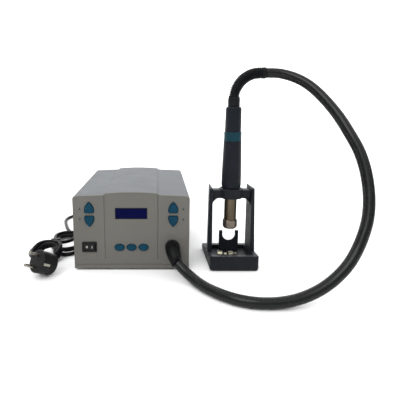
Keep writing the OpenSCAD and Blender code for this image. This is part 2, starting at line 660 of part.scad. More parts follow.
// Upright with a flat inner face, thicker at the front than at the back and narrower towards the top
module upright_section(front, back, y0, y1) hull() {
    translate([upright_in + 1, y0 + 1]) circle(r = 1, $fn = 24);
    translate([upright_in + front - 2, y0 + 2]) circle(r = 2, $fn = 24);
    translate([upright_in + back - 1, y1 - 1]) circle(r = 1, $fn = 24);
    translate([upright_in + 1, y1 - 1]) circle(r = 1, $fn = 24);
}
module upright_body(side) mirror([side < 0 ? 1 : 0, 0, 0]) hull() {
    translate([0, 0, tray_z]) linear_extrude(20) upright_section(7.4, 3.6, 34, 76);
    translate([0, 0, upright_top - 1]) linear_extrude(1) upright_section(5.2, 2.4, 40, 80);
}
module upright(side) in_stand() upright_body(side);
module upright_left() color("#25282d") upright(-1);
module upright_right() color("#25282d") upright(1);

// Yoke between the uprights, with a cone that the handpiece's shoulder sits in
module handle_cradle() color("#25282d") on_hand_axis() difference() {
    union() {
        translate([0, 0, cradle_low]) cylinder(r = 20, h = 16);
        for (s = [-1, 1]) translate([s * (upright_in - 8) - 8, -9, cradle_low]) cube([16, 18, 14]);
        for (s = [-1, 1]) translate([0, 6, 0]) rotate([90, 0, 0]) linear_extrude(12)
            polygon([[s * upright_in, cradle_low + 1], [s * 18, cradle_low + 1], [s * 25, cradle_low - 2],
                     [s * 30, cradle_low - 7], [s * upright_in, cradle_low - 14]]);
    }
    translate([0, 0, cradle_low - 20]) cylinder(r = seat_r - 0.3, h = 60);
    translate([0, 0, seat_z - 0.3]) cylinder(r1 = seat_r + seat_gap,
        r2 = seat_r + seat_gap + (grip_r - seat_r) * 20 / seat_h, h = 20);
}

// Plate with a round notch that takes the barrel
module barrel_fork() color("#2c3034") in_stand() along_y(fork_y, fork_y + fork_t) difference() {
    polygon([[-17, tray_z], [17, tray_z], [17, 49], [16, 50], [11.6, 50], [-11.6, 50], [-16, 50], [-17, 49]]);
    translate([0, 43]) circle(r = fork_r);
    translate([-fork_r, 43]) square([2 * fork_r, 10]);
}

// Two small nozzles lying in the tray
module spare_nozzles() color("#b5a98c") in_stand()
    for (n = [[-21, 47, -8], [-4, 43, 14]]) translate([n[0], n[1], tray_z + 6.6]) rotate([0, 90, n[2]])
        rotate_extrude() difference() {
            polygon([[0, 0], [6.4, 0], [6.4, 8], [3.6, 11.5], [3.6, 16], [0, 16]]);
            polygon([[0, -1], [5.5, -1], [5.5, 7.6], [2.7, 11.1], [2.7, 17], [0, 17]]);
        }

base_chassis();
top_cover();
front_panel();
rear_panel();
rubber_feet();
cover_screws();
display_window();
lcd_module();
control_board();
tact_switches();
power_board();
power_capacitors();
heat_sink();
transformer_core();
transformer_coil();
blower_housing();
blower_cover();
blower_motor();
motor_shaft();
blower_impeller();
air_duct();
hose_connector();
switch_frame();
power_rocker();
button_temp_up();
button_temp_down();
button_air_up();
button_air_down();
button_channel_1();
button_channel_2();
button_channel_3();
lead_bushing();
hose_boot();
air_hose();
mains_lead();
mains_hank();
plug_lead();
hank_tie();
plug_body();
plug_pins();
earth_clips();
strain_relief();
rear_collar();
handle_rear();
handle_band();
handle_grip();
barrel_flange();
barrel();
heater_core();
heater_coil();
nozzle();
stand_base();
stand_pads();
upright_left();
upright_right();
handle_cradle();
barrel_fork();
spare_nozzles();
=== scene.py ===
"""Hot air station: looks, cords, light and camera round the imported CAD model. All sizes are metres."""
import math

import bmesh
import bpy
import numpy as np
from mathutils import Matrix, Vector
from mathutils.bvhtree import BVHTree


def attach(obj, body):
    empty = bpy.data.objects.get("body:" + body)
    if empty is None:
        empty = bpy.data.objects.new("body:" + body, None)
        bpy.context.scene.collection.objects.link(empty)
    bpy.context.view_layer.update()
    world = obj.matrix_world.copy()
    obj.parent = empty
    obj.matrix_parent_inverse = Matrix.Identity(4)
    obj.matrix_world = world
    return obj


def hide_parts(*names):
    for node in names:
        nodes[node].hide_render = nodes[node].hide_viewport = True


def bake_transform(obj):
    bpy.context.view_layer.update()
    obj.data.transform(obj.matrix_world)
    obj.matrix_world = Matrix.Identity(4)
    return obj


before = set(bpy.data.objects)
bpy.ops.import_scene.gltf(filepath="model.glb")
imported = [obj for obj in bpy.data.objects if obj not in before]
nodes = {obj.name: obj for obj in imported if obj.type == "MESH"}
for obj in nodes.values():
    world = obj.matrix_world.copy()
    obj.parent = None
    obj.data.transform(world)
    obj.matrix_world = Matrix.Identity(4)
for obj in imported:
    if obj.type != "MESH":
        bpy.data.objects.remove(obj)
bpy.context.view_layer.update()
MM = 0.001

# ---------------------------------------------------------------- camera


def make_camera():
    cam = bpy.data.objects.new("camera", bpy.data.cameras.new("camera"))
    bpy.context.scene.collection.objects.link(cam)
    cam.location = (-0.0182, -0.71275, 0.2698)
    cam.rotation_euler = (math.radians(90 - 10.43), 0, 0)
    cam.data.sensor_width = 36
    cam.data.lens = 34.45
    cam.data.shift_x = 0.1039
    cam.data.shift_y = -0.0643
    cam.data.clip_start = 0.01
    cam.data.clip_end = 60
    bpy.context.scene.camera = cam


make_camera()

# ---------------------------------------------------------------- geometry helpers


def unit(v):
    return v / np.linalg.norm(v)


def spline(points, per_mm=3.0, first=None, last=None):
    """A smooth curve through the points, with its end directions held where they are given."""
    p = np.array(points, float)
    head = p[0] - (unit(np.array(first, float)) * np.linalg.norm(p[1] - p[0]) if first else p[1] - p[0])
    tail = p[-1] + (unit(np.array(last, float)) * np.linalg.norm(p[-1] - p[-2]) if last else p[-1] - p[-2])
    q = np.vstack([head, p, tail])
    knots = np.concatenate([[0], np.cumsum(np.sqrt(np.linalg.norm(np.diff(q, axis=0), axis=1)))])
    out = []
    for i in range(1, len(q) - 2):
        t0, t1, t2, t3 = knots[i - 1:i + 3]
        n = max(2, int(np.linalg.norm(q[i + 1] - q[i]) / per_mm))
        for t in np.linspace(t1, t2, n, endpoint=False):
            a1 = q[i - 1] * (t1 - t) / (t1 - t0) + q[i] * (t - t0) / (t1 - t0)
            a2 = q[i] * (t2 - t) / (t2 - t1) + q[i + 1] * (t - t1) / (t2 - t1)
            a3 = q[i + 1] * (t3 - t) / (t3 - t2) + q[i + 2] * (t - t2) / (t3 - t2)
            b1 = a1 * (t2 - t) / (t2 - t0) + a2 * (t - t0) / (t2 - t0)
            b2 = a2 * (t3 - t) / (t3 - t1) + a3 * (t - t1) / (t3 - t1)
            out.append(b1 * (t2 - t) / (t2 - t1) + b2 * (t - t1) / (t2 - t1))
    out.append(q[-2])
    return np.array(out)


def evened(points, step, rounds=0):
    """The same line with even steps, relaxed a little for each round, its ends kept."""
    p = np.array(points, float)
    for done in range(rounds + 1):
        s = np.concatenate([[0], np.cumsum(np.linalg.norm(np.diff(p, axis=0), axis=1))])
        n = max(3, int(round(s[-1] / step)) + 1)
        p = np.stack([np.interp(np.linspace(0, s[-1], n), s, p[:, k]) for k in range(3)], axis=1)
        if done < rounds:
            p[1:-1] = 0.5 * p[1:-1] + 0.25 * (p[:-2] + p[2:])
    return p


def frames(path, first, last):
    """Headings and two square directions along a line, with no twist."""
    t = np.gradient(path, axis=0)
    t[0], t[-1] = first, last
    t /= np.linalg.norm(t, axis=1)[:, None]
    side = np.cross(t[0], [0, 0, 1.0])
    if np.linalg.norm(side) < 0.1:
        side = np.cross(t[0], [0, 1.0, 0])
    sides = [unit(side)]
    for i in range(1, len(path)):
        sides.append(unit(sides[-1] - np.dot(sides[-1], t[i]) * t[i]))
    sides = np.array(sides)
    return t, sides, np.cross(t, sides)


def new_mesh(name, verts, faces, mat, smooth=True):
    me = bpy.data.meshes.new(name)
    me.from_pydata([tuple(v) for v in verts], [], faces)
    me.validate()
    if smooth:
        me.polygons.foreach_set("use_smooth", [True] * len(me.polygons))
    o = bpy.data.objects.new(name, me)
    bpy.context.scene.collection.objects.link(o)
    me.materials.append(mat)
    return o


def sweep(name, path, radii, sides, mat, first, last):
    """A round tube along path (millimetres) with a radius at each of its points."""
    t, a, b = frames(path, first, last)
    ang = np.linspace(0, 2 * math.pi, sides, endpoint=False)
    rings = path[:, None, :] + np.array(radii)[:, None, None] * (
        np.cos(ang)[None, :, None] * a[:, None, :] + np.sin(ang)[None, :, None] * b[:, None, :])
    verts = list(rings.reshape(-1, 3) * MM)
    n = len(path)
    faces = []
    for i in range(n - 1):
        for k in range(sides):
            m = (k + 1) % sides
            faces.append((i * sides + k, i * sides + m, (i + 1) * sides + m, (i + 1) * sides + k))
    faces.append(tuple(range(sides - 1, -1, -1)))
    faces.append(tuple((n - 1) * sides + k for k in range(sides)))
    return new_mesh(name, verts, faces, mat)


def outward(o):
    bm = bmesh.new()
    bm.from_mesh(o.data)
    bmesh.ops.recalc_face_normals(bm, faces=bm.faces)
    bm.to_mesh(o.data)
    bm.free()
    return o


WELD_WITHIN = 1e-5
BEVEL_STEPS, BEVEL_OVER = 3, math.radians(32)
FLAT_WITHIN = math.radians(0.4)


def weld(o):
    o.modifiers.new("weld", "WELD").merge_threshold = WELD_WITHIN


def even_normals(o):
    n = o.modifiers.new("normals", "WEIGHTED_NORMAL")
    n.weight = 50


def soften(o, width):
    """Rounds a piece's sharp edges with real geometry and keeps its flat faces flat."""
    weld(o)
    flat = o.modifiers.new("planar", "DECIMATE")
    flat.decimate_type = "DISSOLVE"
    flat.angle_limit = FLAT_WITHIN
    bevel = o.modifiers.new("bevel", "BEVEL")
    bevel.limit_method = "ANGLE"
    bevel.angle_limit = BEVEL_OVER
    bevel.width = width * MM
    bevel.segments = BEVEL_STEPS
    bevel.use_clamp_overlap = False
    bevel.miter_outer = "MITER_ARC"
    even_normals(o)


# ---------------------------------------------------------------- materials


def material(name, color, rough, metal=0.0, tint=0.10, tint_scale=30.0, rough_var=0.08,
             grain=0.0, grain_scale=1500.0, coat=0.0, coat_rough=0.15, specular=0.5,
             dust=0.0, stretch=(1, 1, 1), pits=0.0):
    """A procedural surface: broad colour drift, uneven gloss, fine relief and a little dust on its tops."""
    m = bpy.data.materials.new(name)
    m.use_nodes = True
    nt = m.node_tree
    nt.nodes.clear()
    out = nt.nodes.new("ShaderNodeOutputMaterial")
    bsdf = nt.nodes.new("ShaderNodeBsdfPrincipled")
    nt.links.new(bsdf.outputs[0], out.inputs[0])
    bsdf.inputs["Metallic"].default_value = metal
    bsdf.inputs["Specular IOR Level"].default_value = specular
    bsdf.inputs["Coat Weight"].default_value = coat
    bsdf.inputs["Coat Roughness"].default_value = coat_rough
    coord = nt.nodes.new("ShaderNodeTexCoord")
    mapping = nt.nodes.new("ShaderNodeMapping")
    mapping.inputs["Scale"].default_value = stretch
    nt.links.new(coord.outputs["Object"], mapping.inputs["Vector"])

    def noise(scale, detail=3.0, roughness=0.5):
        n = nt.nodes.new("ShaderNodeTexNoise")
        n.inputs["Scale"].default_value = scale
        n.inputs["Detail"].default_value = detail
        n.inputs["Roughness"].default_value = roughness
        nt.links.new(mapping.outputs[0], n.inputs["Vector"])
        return n.outputs[0]

    drift = nt.nodes.new("ShaderNodeValToRGB")
    nt.links.new(noise(tint_scale, 4), drift.inputs[0])
    drift.color_ramp.elements[0].position = 0.3
    drift.color_ramp.elements[1].position = 0.7
    drift.color_ramp.elements[0].color = tuple(c * (1 - tint) for c in color) + (1,)
    drift.color_ramp.elements[1].color = tuple(min(1, c * (1 + tint)) for c in color) + (1,)
    shade = drift.outputs[0]
    if dust:
        geo = nt.nodes.new("ShaderNodeNewGeometry")
        split = nt.nodes.new("ShaderNodeSeparateXYZ")
        nt.links.new(geo.outputs["Normal"], split.inputs[0])
        up = nt.nodes.new("ShaderNodeMapRange")
        up.inputs["From Min"].default_value = 0.5
        up.inputs["From Max"].default_value = 1.0
        up.inputs["To Max"].default_value = dust
        nt.links.new(split.outputs[2], up.inputs["Value"])
        patch = nt.nodes.new("ShaderNodeMath")
        patch.operation = "MULTIPLY"
        nt.links.new(up.outputs[0], patch.inputs[0])
        nt.links.new(noise(160, 6, 0.65), patch.inputs[1])
        mix = nt.nodes.new("ShaderNodeMix")
        mix.data_type = "RGBA"
        nt.links.new(patch.outputs[0], mix.inputs["Factor"])
        nt.links.new(shade, mix.inputs[6])
        mix.inputs[7].default_value = (0.55, 0.54, 0.52, 1)
        shade = mix.outputs[2]
    nt.links.new(shade, bsdf.inputs["Base Color"])
    gloss = nt.nodes.new("ShaderNodeMapRange")
    gloss.inputs["From Min"].default_value = 0.25
    gloss.inputs["From Max"].default_value = 0.75
    gloss.inputs["To Min"].default_value = max(0.02, rough - rough_var)
    gloss.inputs["To Max"].default_value = min(1.0, rough + rough_var)
    nt.links.new(noise(tint_scale * 3.3, 5, 0.6), gloss.inputs["Value"])
    nt.links.new(gloss.outputs[0], bsdf.inputs["Roughness"])
    height = None
    if grain:
        bump = nt.nodes.new("ShaderNodeBump")
        bump.inputs["Strength"].default_value = grain
        bump.inputs["Distance"].default_value = 0.0002
        nt.links.new(noise(grain_scale, 2, 0.4), bump.inputs["Height"])
        height = bump
    if pits:
        cells = nt.nodes.new("ShaderNodeTexVoronoi")
        cells.inputs["Scale"].default_value = grain_scale * 0.4
        nt.links.new(mapping.outputs[0], cells.inputs["Vector"])
        second = nt.nodes.new("ShaderNodeBump")
        second.inputs["Strength"].default_value = pits
        second.inputs["Distance"].default_value = 0.0003
        nt.links.new(cells.outputs["Distance"], second.inputs["Height"])
        if height:
            nt.links.new(height.outputs[0], second.inputs["Normal"])
        height = second
    if height:
        nt.links.new(height.outputs[0], bsdf.inputs["Normal"])
    m["bsdf"] = bsdf.name
    return m


def ramp_over_height(m, z0, z1, stops):
    """Multiplies a material's colour by a ramp that runs from height z0 to height z1 in the row frame."""
    nt = m.node_tree
    bsdf = nt.nodes[m["bsdf"]]
    source = bsdf.inputs["Base Color"].links[0].from_socket
    coord = nt.nodes.new("ShaderNodeTexCoord")
    split = nt.nodes.new("ShaderNodeSeparateXYZ")
    nt.links.new(coord.outputs["Object"], split.inputs[0])
    along = nt.nodes.new("ShaderNodeMapRange")
    along.inputs["From Min"].default_value = z0
    along.inputs["From Max"].default_value = z1
    nt.links.new(split.outputs[2], along.inputs["Value"])
    ramp = nt.nodes.new("ShaderNodeValToRGB")
    nt.links.new(along.outputs[0], ramp.inputs[0])
    while len(ramp.color_ramp.elements) > 1:
        ramp.color_ramp.elements.remove(ramp.color_ramp.elements[-1])
    for i, (pos, col) in enumerate(stops):
        e = ramp.color_ramp.elements[0] if i == 0 else ramp.color_ramp.elements.new(pos)
        e.position = pos
        e.color = tuple(col) + (1,)
    mix = nt.nodes.new("ShaderNodeMix")
    mix.data_type = "RGBA"
    mix.blend_type = "MULTIPLY"
    mix.inputs["Factor"].default_value = 1.0
    nt.links.new(source, mix.inputs[6])
    nt.links.new(ramp.outputs[0], mix.inputs[7])
    nt.links.new(mix.outputs[2], bsdf.inputs["Base Color"])
    return m


PANEL = material("panel_plastic", (0.118, 0.115, 0.104), 0.5, tint=0.035, tint_scale=14, grain=0.25,
                 grain_scale=2600, specular=0.2, rough_var=0.05)
COVER = material("cover_paint", (0.110, 0.119, 0.128), 0.6, tint=0.04, tint_scale=9, grain=0.35,
                 grain_scale=1800, rough_var=0.06, specular=0.18, dust=0.05)
REAR = material("rear_paint", (0.15, 0.158, 0.166), 0.50, tint=0.04, tint_scale=12, grain=0.35,
                grain_scale=1800)
BUTTON = material("button_blue", (0.001, 0.034, 0.064), 0.36, tint=0.08, tint_scale=60, grain=0.12,
                  grain_scale=2500, specular=0.10, coat_rough=0.25)
BLACK = material("switch_black", (0.010, 0.010, 0.010), 0.32, tint=0.15, tint_scale=60, grain=0.08,
                 grain_scale=2200, specular=0.12)
MARK = material("mark_white", (0.75, 0.75, 0.72), 0.55, tint=0.05, tint_scale=300)
LEGEND = material("legend_ink", (0.008, 0.022, 0.020), 0.55, tint=0.12, tint_scale=600)
RUBBER = material("hose_rubber", (0.0060, 0.0064, 0.0068), 0.27, tint=0.18, tint_scale=22, grain=0.10,
                  grain_scale=900, rough_var=0.07, specular=0.20)
BOOT = material("boot_rubber", (0.0040, 0.0043, 0.0048), 0.42, tint=0.18, tint_scale=60, grain=0.15,
                grain_scale=1400, specular=0.09)
RELIEF = material("relief_rubber", (0.0060, 0.0070, 0.0080), 0.45, tint=0.2, tint_scale=80, grain=0.12,
                  grain_scale=1600, specular=0.09)
LEAD = material("lead_rubber", (0.0060, 0.0060, 0.0068), 0.34, tint=0.2, tint_scale=50, grain=0.10,
                grain_scale=1500, specular=0.09)
PLUG = material("plug_black", (0.0125, 0.0122, 0.0125), 0.38, tint=0.15, tint_scale=60, grain=0.18,
                grain_scale=1700, specular=0.09)
NICKEL = material("contact_nickel", (0.30, 0.285, 0.245), 0.28, metal=1.0, tint=0.08, tint_scale=160,
                  rough_var=0.08, grain=0.06, grain_scale=1200)
HANDLE = material("handle_plastic", (0.0085, 0.0105, 0.0145), 0.40, tint=0.10, tint_scale=40, grain=0.18,
                  grain_scale=2200, specular=0.09)
TEAL = material("band_teal", (0.006, 0.033, 0.048), 0.38, tint=0.08, tint_scale=50, grain=0.10,
                grain_scale=2000, specular=0.09)
BARREL = material("heat_steel", (0.115, 0.094, 0.068), 0.36, metal=0.85, tint=0.16, tint_scale=40,
                  stretch=(1, 1, 0.12), grain=0.14, grain_scale=900, rough_var=0.10)
NOZZLE = material("nozzle_steel", (0.20, 0.168, 0.138), 0.34, metal=0.85, tint=0.22, tint_scale=130,
                  grain=0.22, grain_scale=900, rough_var=0.12)
STAND = material("stand_paint", (0.0105, 0.0120, 0.0155), 0.5, tint=0.12, tint_scale=40, grain=0.30,
                 grain_scale=1500, pits=0.10, dust=0.04, specular=0.10)
SPARE = material("spare_nozzle_steel", (0.30, 0.28, 0.22), 0.32, metal=1.0, tint=0.15, tint_scale=220,
                 grain=0.15, grain_scale=900)
STEEL = material("sheet_steel", (0.55, 0.56, 0.57), 0.38, metal=1.0, tint=0.06, tint_scale=30,
                 stretch=(1, 0.15, 1), grain=0.12, grain_scale=1200)
SCREW = material("screw_steel", (0.30, 0.30, 0.31), 0.35, metal=1.0, tint=0.1, tint_scale=300)
FOOT = material("foot_rubber", (0.014, 0.014, 0.014), 0.75, tint=0.15, tint_scale=90, grain=0.2,
                grain_scale=900)
BOARD = material("circuit_board", (0.02, 0.10, 0.045), 0.35, tint=0.2, tint_scale=150, coat=0.3)
SLEEVE = material("capacitor_sleeve", (0.015, 0.03, 0.07), 0.3, tint=0.1, tint_scale=90)
ALU = material("sink_aluminium", (0.62, 0.63, 0.65), 0.34, metal=1.0, tint=0.06, tint_scale=50,
               stretch=(1, 1, 0.2), grain=0.1, grain_scale=900)
IRON = material("core_iron", (0.10, 0.10, 0.11), 0.55, metal=0.6, tint=0.15, tint_scale=60, grain=0.3,
                stretch=(0.1, 0.1, 1), grain_scale=1500)
COPPER = material("coil_copper", (0.46, 0.17, 0.06), 0.30, metal=0.9, tint=0.15, tint_scale=90,
                  stretch=(0.2, 0.2, 1), grain=0.4, grain_scale=700)
BLOWER = material("blower_plastic", (0.02, 0.021, 0.023), 0.5, tint=0.12, tint_scale=50, grain=0.2)
CERAMIC = material("ceramic", (0.72, 0.69, 0.62), 0.7, tint=0.06, tint_scale=120, grain=0.3)
WIRE = material("heater_wire", (0.25, 0.22, 0.19), 0.5, metal=0.9, tint=0.2, tint_scale=300)
GLASS = material("display_blue", (0.0006, 0.0016, 0.032), 0.5, tint=0.10, tint_scale=40, rough_var=0.03,
                 specular=0.04)

ramp_over_height(BARREL, 0.064, 0.125, [(0, (1.15, 0.95, 0.80)), (0.25, (0.85, 0.80, 0.72)),
                                       (0.6, (0.95, 0.93, 0.85)), (1, (1.1, 1.1, 1.1))])

DRESS = {
    "base_chassis": STEEL, "top_cover": COVER, "front_panel": PANEL, "rear_panel": REAR,
    "rubber_feet": FOOT, "cover_screws": SCREW, "display_window": GLASS, "lcd_module": BOARD,
    "control_board": BOARD, "tact_switches": BLACK, "power_board": BOARD, "power_capacitors": SLEEVE,
    "heat_sink": ALU, "transformer_core": IRON, "transformer_coil": COPPER, "blower_housing": BLOWER,
    "blower_cover": BLOWER, "blower_motor": STEEL, "motor_shaft": STEEL, "blower_impeller": BLOWER,
    "air_duct": BLOWER, "hose_connector": ALU, "switch_frame": BLACK, "power_rocker": BLACK,
    "button_temp_up": BUTTON, "button_temp_down": BUTTON, "button_air_up": BUTTON,
    "button_air_down": BUTTON, "button_channel_1": BUTTON, "button_channel_2": BUTTON,
    "button_channel_3": BUTTON, "lead_bushing": BOOT, "hose_boot": BOOT, "air_hose": RUBBER,
    "mains_lead": LEAD, "mains_hank": LEAD, "plug_lead": LEAD, "hank_tie": BLACK, "plug_body": PLUG,
    "plug_pins": NICKEL, "earth_clips": NICKEL, "strain_relief": RELIEF, "rear_collar": RELIEF,
    "handle_rear": HANDLE, "handle_band": TEAL, "handle_grip": HANDLE, "barrel_flange": STEEL,
    "barrel": BARREL, "heater_core": CERAMIC, "heater_coil": WIRE, "nozzle": NOZZLE,
    "stand_base": STAND, "stand_pads": FOOT, "upright_left": STAND, "upright_right": STAND,
    "handle_cradle": STAND, "barrel_fork": STAND, "spare_nozzles": SPARE,
}
ROUND = {  # bevel width in millimetres of each CAD node that shows
    "front_panel": 0.5, "cover_screws": 0.25, "switch_frame": 0.4,
    "power_rocker": 0.6, "button_temp_up": 0.5, "button_temp_down": 0.5, "button_air_up": 0.5,
    "button_air_down": 0.5, "button_channel_1": 0.5, "button_channel_2": 0.5, "button_channel_3": 0.5,
    "hank_tie": 0.6, "plug_body": 0.8, "plug_pins": 0.3, "earth_clips": 0.3, "rear_collar": 0.3,
    "handle_rear": 0.5, "handle_band": 0.4, "handle_grip": 0.6, "nozzle": 0.3, "stand_base": 0.6,
    "upright_left": 0.8, "upright_right": 0.8, "handle_cradle": 1.0, "barrel_fork": 0.6,
    "spare_nozzles": 0.3, "rubber_feet": 0.4, "barrel": 0.2,
}


AS_MADE = ("top_cover", "rear_panel")  # slotted sheets, which keep their own edges


def dress_nodes():
    for name, mat in DRESS.items():
        o = nodes[name]
        for s in o.material_slots:
            s.material = mat
        if not o.material_slots:
            o.data.materials.append(mat)
        if name in AS_MADE:
            continue
        if "custom_normal" in o.data.attributes:
            o.data.attributes.remove(o.data.attributes["custom_normal"])
        o.data.polygons.foreach_set("use_smooth", [True] * len(o.data.polygons))
        if name in ROUND:
            soften(o, ROUND[name])
        else:
            weld(o)
            even_normals(o)


dress_nodes()

# ---------------------------------------------------------------- hose

HOSE = [(11, -149, 25), (20, -157, 18), (29, -167, 12.4), (40, -182, 8.8), (51, -198, 8.2),
        (64, -213, 8.2), (79, -226, 8.2), (96, -236, 8.2), (114, -241, 8.2), (133, -242, 8.2),
        (152, -241, 9.5), (171, -239, 13), (190, -237, 20), (208, -234, 29.5), (225, -230, 42),
        (240, -226, 58), (252, -220, 75), (261, -215, 94), (268, -209, 113),
        (272, -202, 133), (273.5, -193, 156), (272, -183, 180), (267, -172, 204),
        (258, -159, 227), (249, -142, 250), (238, -122, 272), (224, -104, 292),
        (210, -91, 305), (193, -80, 314), (175, -74, 318.6), (156.3, -72, 319)]
HOSE_R = 8.0


def length_of(path):
    return float(np.linalg.norm(np.diff(path, axis=0), axis=1).sum())


def make_hose():
    start = np.array(HOSE[1], float) - np.array(HOSE[0], float)
    path = evened(spline(HOSE, 2.5, list(start), [-1, 0, 0]), 2.5, 10)
    hose = sweep("hose", path, [HOSE_R] * len(path), 40, RUBBER, unit(start), [-1, 0, 0])
    outward(hose)
    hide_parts("air_hose")
    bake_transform(hose)
    return hose


make_hose()

# ---------------------------------------------------------------- strain relief and marks


HANDLE_AXIS = (106.0, -72.0)
COLLAR_TOP, RELIEF_BEND, RELIEF_END = 279.0, 40.0, 156.0
CORE_R, FIN_R = 7.4, 9.3
FINS, FIN_PITCH, FIRST_FIN = 25, 2.45, 4.3


def relief_profile(total):
    """(distance, radius) along the relief: a collar, saw-tooth fins on a core, and the hose's collar."""
    profile = [(0, FIN_R), (3.2, FIN_R), (3.5, CORE_R)]
    for k in range(FINS):
        s = FIRST_FIN + FIN_PITCH * k
        profile += [(s, CORE_R), (s + 0.15, FIN_R), (s + 1.1, FIN_R - 0.4), (s + 1.25, CORE_R)]
    return profile + [(total - 7.4, CORE_R), (total - 7.0, 9.0), (total - 0.8, FIN_R), (total, 8.8)]


def make_relief():
    """Finned rubber bend from the handle's collar round to the hose."""
    x, y = HANDLE_AXIS
    turn = np.radians(np.arange(0, 90.1, 0.5))
    bend = np.stack([x + RELIEF_BEND * (1 - np.cos(turn)), np.full(len(turn), y),
                     COLLAR_TOP + RELIEF_BEND * np.sin(turn)], axis=1)
    line = evened(np.vstack([bend, [(RELIEF_END, y, COLLAR_TOP + RELIEF_BEND)]]), 0.5)
    total = length_of(line)
    profile = relief_profile(total)
    along = np.linspace(0, total, len(line))
    at = [s for s, _ in profile]
    path = np.stack([np.interp(at, along, line[:, k]) for k in range(3)], axis=1)
    heading = np.stack([np.interp(at, along, np.gradient(line[:, k], along)) for k in range(3)], axis=1)
    heading /= np.linalg.norm(heading, axis=1)[:, None]
    side = np.array([0, 1.0, 0])
    sides = 40
    ang = np.linspace(0, 2 * math.pi, sides, endpoint=False)
    verts, faces = [], []
    for q, h, (_, r) in zip(path, heading, profile):
        up = np.cross(h, side)
        verts += [tuple((q + r * (math.cos(a) * side + math.sin(a) * up)) * MM) for a in ang]
    for i in range(len(path) - 1):
        for k in range(sides):
            m = (k + 1) % sides
            faces.append((i * sides + k, i * sides + m, (i + 1) * sides + m, (i + 1) * sides + k))
    faces += [tuple(range(sides - 1, -1, -1)), tuple((len(path) - 1) * sides + k for k in range(sides))]
    o = outward(new_mesh("relief_fins", verts, faces, RELIEF))
    o.data.set_sharp_from_angle(angle=math.radians(35))
    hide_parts("strain_relief")
    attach(o, "handpiece")


BOX_FRONT_Y = -120.0
MARK_SUNK = 0.1


def on_front(node, outline, hole, name, mat, body, proud=0.12):
    """A thin printed mark that follows a CAD part's front: outline and hole are (x, z) in millimetres."""
    part = nodes[node]
    bpy.context.view_layer.update()
    world = part.matrix_world
    tree = BVHTree.FromPolygons([world @ v.co for v in part.data.vertices],
                                [tuple(f.vertices) for f in part.data.polygons])

    def touch(x, z):
        hit = tree.ray_cast(Vector((x * MM, -0.3, z * MM)), Vector((0, 1, 0)))[0]
        return hit.y / MM if hit else BOX_FRONT_Y

    verts, faces = [], []
    n = len(outline)
    rings = [outline, hole] if hole else [outline]
    for depth in (-proud, MARK_SUNK):
        for ring in rings:
            verts += [(x * MM, (touch(x, z) + depth) * MM, z * MM) for x, z in ring]
    half = n * len(rings)
    for k in range(n):
        m = (k + 1) % n
        if hole:
            faces += [(k, m, n + m, n + k), (half + k, half + n + k, half + n + m, half + m),
                      (n + k, n + m, half + n + m, half + n + k)]
        faces.append((k, half + k, half + m, m))
    if not hole:
        faces += [tuple(range(n)), tuple(half + k for k in reversed(range(n)))]
    o = outward(new_mesh(name, verts, faces, mat, smooth=False))
    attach(o, body)
    return o


ROCKER_MARK_Z = 40.3
OFF_X, ON_X = -134.9, -126.2
SCREEN_X, SCREEN_Z = (-87.0, -37.0), (88.4, 104.6)
BORDER = (0.9, 1.0)


def rectangle(x0, x1, z0, z1):
    return [(x0, z0), (x1, z0), (x1, z1), (x0, z1)]


def panel_arrow(name, x, z, up):
    """A small printed triangle beside an arrow button: up is 1 or -1."""
    outline = [(x - 2.0, z - up * 2.0), (x + 2.0, z - up * 2.0), (x, z + up * 2.2)]
    on_front("front_panel", outline, None, name, LEGEND, "station")


def make_marks():
    for side, x, top, low in (("left", -144.7, 104.4, 86.9), ("right", 21.7, 104.4, 86.1)):
        panel_arrow("mark_up_" + side, x, top, 1)
        panel_arrow("mark_down_" + side, x, low, -1)
    ring = [(math.cos(a), math.sin(a)) for a in np.linspace(0, 2 * math.pi, 32, endpoint=False)]
    on_front("power_rocker", [(OFF_X + 1.5 * c, ROCKER_MARK_Z + 1.8 * s) for c, s in ring],
             [(OFF_X + 1.0 * c, ROCKER_MARK_Z + 1.3 * s) for c, s in ring], "mark_off", MARK,
             "power_rocker")
    on_front("power_rocker", rectangle(ON_X - 0.3, ON_X + 0.3, ROCKER_MARK_Z - 2, ROCKER_MARK_Z + 2), None,
             "mark_on", MARK, "power_rocker")
    (x0, x1), (z0, z1), (wide, high) = SCREEN_X, SCREEN_Z, BORDER
    on_front("display_window", rectangle(x0 - wide, x1 + wide, z0 - high, z1 + high),
             rectangle(x0, x1, z0, z1), "display_border", BLACK, "station", proud=0.2)


make_relief()
make_marks()

# ---------------------------------------------------------------- mains lead

LEAD_ROUTE = [(-118, 152, 25), (-120, 168, 20), (-130, 183, 12), (-147, 194, 6), (-169, 199, 3.5),
              (-194, 196, 3.5), (-216, 186, 3.5), (-230, 169, 3.5), (-234, 147, 3.5),
              (-229, 124, 3.5), (-222, 102, 3.5), (-215, 82, 3.5), (-206, 64, 3.5),
              (-196, 50, 3.5), (-187, 38, 3.5), (-180.5, 26, 3.5), (-177, 14, 3.5)]
TAIL_ROUTE = [(-236.5, -73, 19.6), (-238.4, -84, 19.8), (-238.2, -94, 19.8), (-235.3, -102.5, 19.5),
              (-230.6, -108.2, 19.2), (-224.9, -112.9, 19.1)]
CROSSING = [(-176, 6, 16), (-178, -8, 16), (-182, -21, 16.5), (-189, -33.5, 18), (-198, -42.5, 19.5),
            (-208.5, -47.5, 19.5), (-219, -48.5, 17), (-228, -53.3, 12)]
LEAD_R = 3.25
FAR_LOOP = ((-194.5, -13.0), 13.9, 1)
NEAR_LOOP = ((-214.0, -75.0), -17.5, -1)
PLUG_HEADING = (0.755, -0.656, 0.0)


def in_loop(loop, across, along, z):
    """From across, along and up in one loop of the hank to the row frame."""
    (x, y), turned, hand = loop
    a = math.radians(turned)
    across *= hand
    return (x + math.cos(a) * across - math.sin(a) * along, y + math.sin(a) * across + math.cos(a) * along, z)


